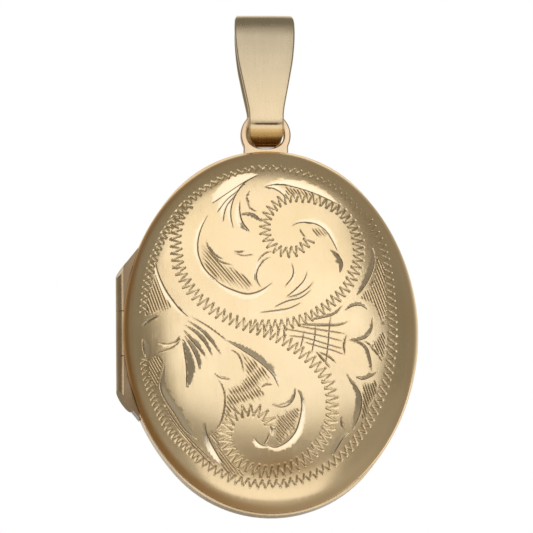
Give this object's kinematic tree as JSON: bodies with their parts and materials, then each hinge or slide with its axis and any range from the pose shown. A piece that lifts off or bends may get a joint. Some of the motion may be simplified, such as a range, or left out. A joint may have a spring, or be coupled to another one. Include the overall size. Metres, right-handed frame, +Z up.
{
  "type": "locket",
  "caption": "Oval locket with an engraved domed cover, side hinge, picture frames inside, top loop and folded strap bail.",
  "frame": {"origin": "centre of the bail's top fold, where a chain runs through along X", "axes": "+Z up with the locket hanging, front face to -Y, hinge on the -X side, catch on the +X side"},
  "size_m": [0.0239, 0.0068, 0.041],
  "materials": {
    "cover_gold": "hand engraved, satin between bright cuts",
    "back_gold": "polished with fine wear",
    "rim_gold": "polished",
    "inner_gold": "polished",
    "hinge_gold": "satin",
    "loop_gold": "polished",
    "bail_gold": "polished with fine scratches",
    "clear_window": "clear acetate",
    "picture_card": "blank matt card"
  },
  "bodies": {
    "bail": {"bail": "bail_gold"},
    "back_half": {"back_shell": "back_gold", "back_rim": "rim_gold", "snap_lip": "inner_gold", "catch_pip": "inner_gold", "back_bezel": "inner_gold", "back_window": "clear_window", "back_picture": "picture_card", "back_hinge_bearer": "hinge_gold", "upper_hinge_knuckle": "hinge_gold", "lower_hinge_knuckle": "hinge_gold", "hinge_pin": "hinge_gold", "pendant_loop": "loop_gold"},
    "front_half": {"front_shell": "cover_gold", "front_rim": "rim_gold", "front_bezel": "inner_gold", "front_window": "clear_window", "front_picture": "picture_card", "front_hinge_bearer": "hinge_gold", "front_hinge_knuckle": "hinge_gold"}
  },
  "joints": [
    {"name": "pendant_swing", "type": "hinge", "parent": "bail", "child": "back_half", "pos_m": [0, 0, -0.00656], "axis": [1, 0, 0], "range_deg": [-38, 38]},
    {"name": "cover_hinge", "type": "hinge", "parent": "back_half", "child": "front_half", "pos_m": [-0.01155, -0.0006, -0.02467], "axis": [0, 0, -1], "range_deg": [0, 170]}
  ]
}
